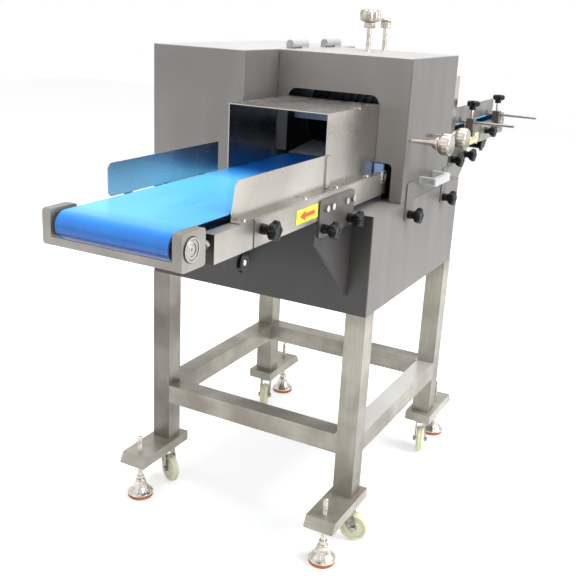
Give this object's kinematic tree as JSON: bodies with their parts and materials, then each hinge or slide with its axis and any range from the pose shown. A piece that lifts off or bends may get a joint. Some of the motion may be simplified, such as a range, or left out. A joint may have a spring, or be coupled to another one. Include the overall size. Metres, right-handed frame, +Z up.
{
  "type": "conveyor meat dicer",
  "caption": "Wheeled stainless conveyor dicer: infeed and outfeed belts pass under circular knives in a lift-up hood beside a drive tower.",
  "frame": {"origin": "on the floor, in the middle of the overall length and width", "axes": "+Z up, +Y along the conveyors towards the infeed end, +X towards the operator's side with the handle"},
  "size_m": [0.708, 1.868, 1.267],
  "materials": {
    "housing_steel": "satin, bead-blasted sheet",
    "stand_steel": "satin brushed tube",
    "conveyor_steel": "fine brushed sheet",
    "bracket_steel": "dark satin",
    "handle_grey": "satin",
    "belt_blue": "smooth satin polyurethane",
    "roller_steel": "turned",
    "knife_steel": "ground and polished",
    "white_plastic": "satin",
    "knob_black": "moulded, satin",
    "knob_polished": "polished steel",
    "foot_bright": "bright turned",
    "caster_zinc": "zinc plated",
    "wheel_nylon": "cream nylon",
    "fastener_bright": "bright",
    "arrow_yellow": "satin"
  },
  "bodies": {
    "frame": {"stand_legs": "stand_steel", "stand_stretchers": "stand_steel", "foot_rails": "stand_steel", "caster_plates": "caster_zinc", "base_box": "housing_steel", "drive_tower": "housing_steel", "tower_door": "housing_steel", "conveyor_rails": "conveyor_steel", "belt_beds": "conveyor_steel", "outfeed_belt": "belt_blue", "infeed_belt": "belt_blue", "nose_yokes": "conveyor_steel", "bearing_caps": "conveyor_steel", "tunnel_guards": "conveyor_steel", "side_guides": "conveyor_steel", "guide_clamps": "conveyor_steel", "hanger_plates": "bracket_steel", "fasteners": "fastener_bright", "belt_scrapers": "knob_black", "arrow_plates": "arrow_yellow", "end_blocks": "white_plastic", "cassette_frame": "conveyor_steel", "feed_bed": "white_plastic", "stripper_comb": "white_plastic"},
    "hood": {"hood": "housing_steel", "hood_handle": "handle_grey"},
    "cutter": {"knife_shaft": "roller_steel", "circular_knives": "knife_steel"},
    "latch_knob_front": {"latch_knob_front": "knob_black"},
    "latch_knob_rear": {"latch_knob_rear": "knob_black"},
    "top_screw_front": {"top_screw_front": "knob_polished"},
    "top_screw_rear": {"top_screw_rear": "knob_polished"},
    "side_screw_front": {"side_screw_front": "knob_polished"},
    "side_screw_rear": {"side_screw_rear": "knob_polished"},
    "outfeed_hanger_knob_outer": {"outfeed_hanger_knob_outer": "knob_black"},
    "outfeed_hanger_knob_inner": {"outfeed_hanger_knob_inner": "knob_black"},
    "outfeed_nose_knob": {"outfeed_nose_knob": "knob_black"},
    "outfeed_drive_roller": {"outfeed_drive_roller": "roller_steel"},
    "outfeed_nose_roller": {"outfeed_nose_roller": "roller_steel"},
    "infeed_hanger_knob_outer": {"infeed_hanger_knob_outer": "knob_black"},
    "infeed_hanger_knob_inner": {"infeed_hanger_knob_inner": "knob_black"},
    "infeed_nose_knob": {"infeed_nose_knob": "knob_black"},
    "infeed_drive_roller": {"infeed_drive_roller": "roller_steel"},
    "infeed_nose_roller": {"infeed_nose_roller": "roller_steel"},
    "feed_roller": {"feed_roller": "roller_steel"},
    "caster_fork_front_left": {"caster_fork_front_left": "caster_zinc"},
    "caster_wheel_front_left": {"caster_wheel_front_left": "wheel_nylon"},
    "levelling_foot_front_left": {"levelling_foot_front_left": "foot_bright"},
    "caster_fork_front_right": {"caster_fork_front_right": "caster_zinc"},
    "caster_wheel_front_right": {"caster_wheel_front_right": "wheel_nylon"},
    "levelling_foot_front_right": {"levelling_foot_front_right": "foot_bright"},
    "caster_fork_rear_left": {"caster_fork_rear_left": "caster_zinc"},
    "caster_wheel_rear_left": {"caster_wheel_rear_left": "wheel_nylon"},
    "levelling_foot_rear_left": {"levelling_foot_rear_left": "foot_bright"},
    "caster_fork_rear_right": {"caster_fork_rear_right": "caster_zinc"},
    "caster_wheel_rear_right": {"caster_wheel_rear_right": "wheel_nylon"},
    "levelling_foot_rear_right": {"levelling_foot_rear_right": "foot_bright"},
    "infeed_guide": {"infeed_guide": "conveyor_steel"},
    "guide_knob_front": {"guide_knob_front": "knob_black"},
    "guide_knob_rear": {"guide_knob_rear": "knob_black"}
  },
  "joints": [
    {"name": "hood_hinge", "type": "hinge", "parent": "frame", "child": "hood", "pos_m": [-0.089, 0.019, 1.1765], "axis": [0, -1, 0], "range_deg": [0, 95]},
    {"name": "latch_knob_front_turn", "type": "hinge", "parent": "hood", "child": "latch_knob_front", "pos_m": [0.256, -0.073, 0.804], "axis": [1, 0, 0], "range_deg": [0, 720]},
    {"name": "latch_knob_rear_turn", "type": "hinge", "parent": "hood", "child": "latch_knob_rear", "pos_m": [0.256, 0.183, 0.804], "axis": [1, 0, 0], "range_deg": [0, 720]},
    {"name": "top_screw_front_turn", "type": "hinge", "parent": "hood", "child": "top_screw_front", "pos_m": [0.053, 0.081, 1.166], "axis": [0, 0, 1], "range_deg": [0, 1080]},
    {"name": "top_screw_rear_turn", "type": "hinge", "parent": "hood", "child": "top_screw_rear", "pos_m": [0.053, 0.187, 1.166], "axis": [0, 0, 1], "range_deg": [0, 1080]},
    {"name": "side_screw_front_turn", "type": "hinge", "parent": "hood", "child": "side_screw_front", "pos_m": [0.253, -0.101, 0.984], "axis": [1, 0, 0], "range_deg": [0, 1080]},
    {"name": "side_screw_rear_turn", "type": "hinge", "parent": "hood", "child": "side_screw_rear", "pos_m": [0.253, 0.019, 0.984], "axis": [1, 0, 0], "range_deg": [0, 1080]},
    {"name": "outfeed_hanger_knob_outer_turn", "type": "hinge", "parent": "frame", "child": "outfeed_hanger_knob_outer", "pos_m": [0.206, -0.439, 0.834], "axis": [1, 0, 0], "range_deg": [0, 720]},
    {"name": "outfeed_hanger_knob_inner_turn", "type": "hinge", "parent": "frame", "child": "outfeed_hanger_knob_inner", "pos_m": [0.206, -0.316, 0.834], "axis": [1, 0, 0], "range_deg": [0, 720]},
    {"name": "outfeed_nose_knob_turn", "type": "hinge", "parent": "frame", "child": "outfeed_nose_knob", "pos_m": [0.202, -0.686, 0.883], "axis": [1, 0, 0], "range_deg": [0, 720]},
    {"name": "outfeed_drive_roller_spin", "type": "hinge", "parent": "frame", "child": "outfeed_drive_roller", "pos_m": [0.059, -0.121, 0.894], "axis": [1, 0, 0], "continuous": true},
    {"name": "outfeed_nose_roller_spin", "type": "hinge", "parent": "frame", "child": "outfeed_nose_roller", "pos_m": [0.059, -0.908, 0.894], "axis": [1, 0, 0], "continuous": true},
    {"name": "infeed_hanger_knob_outer_turn", "type": "hinge", "parent": "frame", "child": "infeed_hanger_knob_outer", "pos_m": [0.206, 0.506, 0.872], "axis": [1, 0, 0], "range_deg": [0, 720]},
    {"name": "infeed_hanger_knob_inner_turn", "type": "hinge", "parent": "frame", "child": "infeed_hanger_knob_inner", "pos_m": [0.206, 0.383, 0.872], "axis": [1, 0, 0], "range_deg": [0, 720]},
    {"name": "infeed_nose_knob_turn", "type": "hinge", "parent": "frame", "child": "infeed_nose_knob", "pos_m": [0.202, 0.722, 0.921], "axis": [1, 0, 0], "range_deg": [0, 720]},
    {"name": "infeed_drive_roller_spin", "type": "hinge", "parent": "frame", "child": "infeed_drive_roller", "pos_m": [0.059, 0.2, 0.932], "axis": [1, 0, 0], "continuous": true},
    {"name": "infeed_nose_roller_spin", "type": "hinge", "parent": "frame", "child": "infeed_nose_roller", "pos_m": [0.059, 0.908, 0.932], "axis": [1, 0, 0], "continuous": true},
    {"name": "knife_spin", "type": "hinge", "parent": "frame", "child": "cutter", "pos_m": [0.059, 0.029, 1.009], "axis": [1, 0, 0], "continuous": true},
    {"name": "feed_roller_spin", "type": "hinge", "parent": "frame", "child": "feed_roller", "pos_m": [0.059, 0.139, 1.008], "axis": [1, 0, 0], "continuous": true},
    {"name": "caster_swivel_front_left", "type": "hinge", "parent": "frame", "child": "caster_fork_front_left", "pos_m": [-0.316, -0.261, 0.1], "axis": [0, 0, 1], "continuous": true},
    {"name": "caster_roll_front_left", "type": "hinge", "parent": "caster_fork_front_left", "child": "caster_wheel_front_left", "pos_m": [-0.29151, -0.27458, 0.0405], "axis": [0.4848, 0.8746, 0], "continuous": true},
    {"name": "foot_height_front_left", "type": "slide", "parent": "frame", "child": "levelling_foot_front_left", "axis": [0, 0, 1], "range_m": [0, 0.02]},
    {"name": "caster_swivel_front_right", "type": "hinge", "parent": "frame", "child": "caster_fork_front_right", "pos_m": [0.228, -0.261, 0.1], "axis": [0, 0, 1], "continuous": true},
    {"name": "caster_roll_front_right", "type": "hinge", "parent": "caster_fork_front_right", "child": "caster_wheel_front_right", "pos_m": [0.25549, -0.25566, 0.0405], "axis": [-0.1908, 0.9816, 0], "continuous": true},
    {"name": "foot_height_front_right", "type": "slide", "parent": "frame", "child": "levelling_foot_front_right", "axis": [0, 0, 1], "range_m": [0, 0.02]},
    {"name": "caster_swivel_rear_left", "type": "hinge", "parent": "frame", "child": "caster_fork_rear_left", "pos_m": [-0.316, 0.299, 0.1], "axis": [0, 0, 1], "continuous": true},
    {"name": "caster_roll_rear_left", "type": "hinge", "parent": "caster_fork_rear_left", "child": "caster_wheel_rear_left", "pos_m": [-0.30642, 0.27269, 0.0405], "axis": [0.9397, 0.342, 0], "continuous": true},
    {"name": "foot_height_rear_left", "type": "slide", "parent": "frame", "child": "levelling_foot_rear_left", "axis": [0, 0, 1], "range_m": [0, 0.02]},
    {"name": "caster_swivel_rear_right", "type": "hinge", "parent": "frame", "child": "caster_fork_rear_right", "pos_m": [0.228, 0.299, 0.1], "axis": [0, 0, 1], "continuous": true},
    {"name": "caster_roll_rear_right", "type": "hinge", "parent": "caster_fork_rear_right", "child": "caster_wheel_rear_right", "pos_m": [0.23665, 0.27237, 0.0405], "axis": [0.9511, 0.309, 0], "continuous": true},
    {"name": "foot_height_rear_right", "type": "slide", "parent": "frame", "child": "levelling_foot_rear_right", "axis": [0, 0, 1], "range_m": [0, 0.02]},
    {"name": "infeed_guide_slide", "type": "slide", "parent": "frame", "child": "infeed_guide", "axis": [1, 0, 0], "range_m": [-0.11, 0.01]},
    {"name": "guide_knob_front_turn", "type": "hinge", "parent": "frame", "child": "guide_knob_front", "pos_m": [0.206, 0.539, 0.974], "axis": [0, 0, 1], "range_deg": [0, 720]},
    {"name": "guide_knob_rear_turn", "type": "hinge", "parent": "frame", "child": "guide_knob_rear", "pos_m": [0.206, 0.819, 0.974], "axis": [0, 0, 1], "range_deg": [0, 720]}
  ],
  "couplings": [
    {"joint": "outfeed_nose_roller_spin", "follows": "outfeed_drive_roller_spin", "ratio": 1},
    {"joint": "infeed_nose_roller_spin", "follows": "infeed_drive_roller_spin", "ratio": 1},
    {"joint": "feed_roller_spin", "follows": "knife_spin", "ratio": 0.4}
  ]
}
